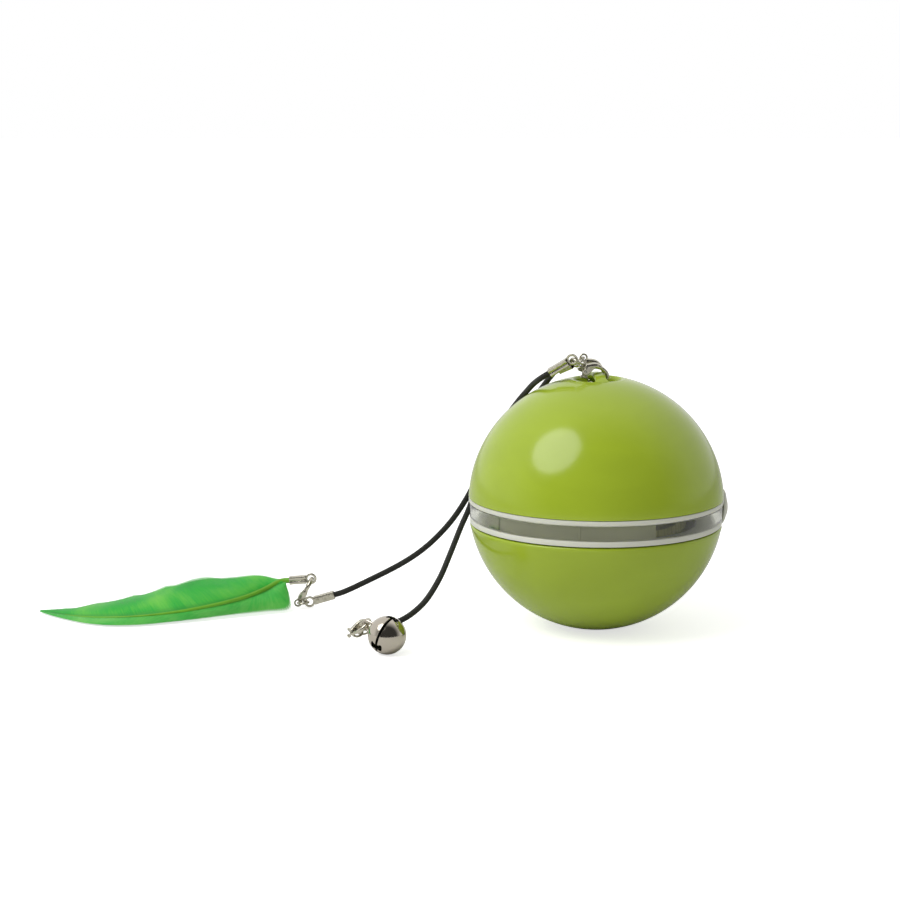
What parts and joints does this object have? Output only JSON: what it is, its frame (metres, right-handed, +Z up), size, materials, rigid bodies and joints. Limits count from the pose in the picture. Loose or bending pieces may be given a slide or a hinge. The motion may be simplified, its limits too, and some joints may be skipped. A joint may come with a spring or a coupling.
{
  "type": "led cat ball",
  "caption": "Light-up ball for a cat with a clear light ring and push button, trailing one cord with a green feather and one cord with a jingle bell, both clipped to a bar in a dish on top.",
  "frame": {"origin": "centre of the small flat foot under the ball", "axes": "+X to the right seen from the pictured side, with the two lines trailing to -X; +Y to the back; +Z up"},
  "size_m": [0.1787, 0.0664, 0.0707],
  "materials": {
    "lime_plastic": "satin moulded plastic",
    "white_plastic": "moulded plastic",
    "clear_plastic": "clear moulded plastic",
    "frosted_plastic": "frosted plastic",
    "black_plastic": "plain",
    "board_green": "lacquered board",
    "steel": "plain steel",
    "polished_nickel": "polished nickel plate",
    "silver_plate": "bright plate",
    "waxed_cord": "waxed cotton",
    "green_feather": "dyed feather",
    "led_lens": "clear epoxy"
  },
  "bodies": {
    "base": {"lower_shell": "lime_plastic", "lower_rim": "white_plastic", "light_band": "clear_plastic", "upper_rim": "white_plastic", "light_diffuser": "frosted_plastic", "carrier_tray": "black_plastic", "carrier_screw_1": "steel", "carrier_screw_2": "steel", "carrier_screw_3": "steel", "circuit_board": "board_green", "board_screw_1": "steel", "board_screw_2": "steel", "board_screw_3": "steel", "led_1": "led_lens", "led_2": "led_lens", "led_3": "led_lens", "tact_switch": "black_plastic", "motion_switch": "steel", "control_chip": "black_plastic", "ballast_weight": "steel", "cell_holder": "black_plastic", "button_cell_1": "steel", "button_cell_2": "steel", "button_cell_3": "steel", "negative_contact": "steel", "positive_contact": "steel", "battery_door": "black_plastic", "battery_door_screw": "steel"},
    "cap": {"upper_shell": "lime_plastic"},
    "button": {"mode_button": "clear_plastic", "switch_plunger": "white_plastic"},
    "bell_line": {"bell_hook_body": "silver_plate", "bell_hook_pin": "steel", "bell_hook_ring": "silver_plate", "bell_top_crimp": "silver_plate", "bell_cord": "waxed_cord", "bell_bottom_crimp": "silver_plate", "bell_clasp_body": "silver_plate", "bell_clasp_pin": "steel", "bell_clasp_ring": "silver_plate"},
    "bell_hook_lever": {"bell_hook_lever": "silver_plate"},
    "bell_clasp_lever": {"bell_clasp_lever": "silver_plate"},
    "feather_line": {"feather_hook_body": "silver_plate", "feather_hook_pin": "steel", "feather_hook_ring": "silver_plate", "feather_top_crimp": "silver_plate", "feather_cord": "waxed_cord", "feather_bottom_crimp": "silver_plate", "feather_clasp_body": "silver_plate", "feather_clasp_pin": "steel", "feather_clasp_ring": "silver_plate"},
    "feather_hook_lever": {"feather_hook_lever": "silver_plate"},
    "feather_clasp_lever": {"feather_clasp_lever": "silver_plate"},
    "feather_end": {"feather_crimp": "silver_plate", "feather": "green_feather"},
    "bell": {"bell_cap": "polished_nickel", "bell_cup": "polished_nickel", "bell_loop": "polished_nickel"},
    "pellet": {"bell_pellet": "steel"}
  },
  "joints": [
    {"name": "cap_twist", "type": "hinge", "parent": "base", "child": "cap", "pos_m": [0, 0, 0.04], "axis": [0, 0, 1], "range_deg": [0, 30]},
    {"name": "button_press", "type": "slide", "parent": "base", "child": "button", "axis": [-0.9962, -0.0872, 0], "range_m": [0, 0.0006], "stiffness_N_per_m": 800},
    {"name": "bell_line_swing", "type": "hinge", "parent": "cap", "child": "bell_line", "pos_m": [0, 0, 0.06489], "axis": [-0.1392, 0.9903, 0], "range_deg": [0, 60]},
    {"name": "feather_line_swing", "type": "hinge", "parent": "cap", "child": "feather_line", "pos_m": [0, 0, 0.06489], "axis": [-0.1392, 0.9903, 0], "range_deg": [0, 60]},
    {"name": "bell_hook_open", "type": "hinge", "parent": "bell_line", "child": "bell_hook_lever", "pos_m": [-0.00307, -0.00265, 0.06609], "axis": [0.1392, -0.9903, 0], "range_deg": [0, 18], "stiffness_Nm_per_rad": 0.002},
    {"name": "bell_clasp_open", "type": "hinge", "parent": "bell_line", "child": "bell_clasp_lever", "pos_m": [-0.06123, -0.02285, 0.0041], "axis": [-0.6398, -0.0838, 0.764], "range_deg": [0, 18], "stiffness_Nm_per_rad": 0.002},
    {"name": "feather_hook_open", "type": "hinge", "parent": "feather_line", "child": "feather_hook_lever", "pos_m": [-0.00313, 0.00178, 0.06702], "axis": [0.1392, -0.9903, 0], "range_deg": [0, 18], "stiffness_Nm_per_rad": 0.002},
    {"name": "feather_clasp_open", "type": "hinge", "parent": "feather_line", "child": "feather_clasp_lever", "pos_m": [-0.07648, 0.0183, 0.0032], "axis": [0.866, 0, -0.5], "range_deg": [0, 18], "stiffness_Nm_per_rad": 0.002},
    {"name": "feather_pivot", "type": "hinge", "parent": "feather_line", "child": "feather_end", "pos_m": [-0.07361, 0.0173, 0.00816], "axis": [0, 1, 0], "range_deg": [0, 50]},
    {"name": "bell_pivot", "type": "hinge", "parent": "bell_line", "child": "bell", "pos_m": [-0.05758, -0.02651, 0.00675], "axis": [-0.5444, -0.6523, -0.5274], "range_deg": [0, 35]},
    {"name": "pellet_roll", "type": "hinge", "parent": "bell", "child": "pellet", "pos_m": [-0.0526, -0.0293, 0.00475], "axis": [0, 1, 0], "range_deg": [-40, 40]}
  ]
}
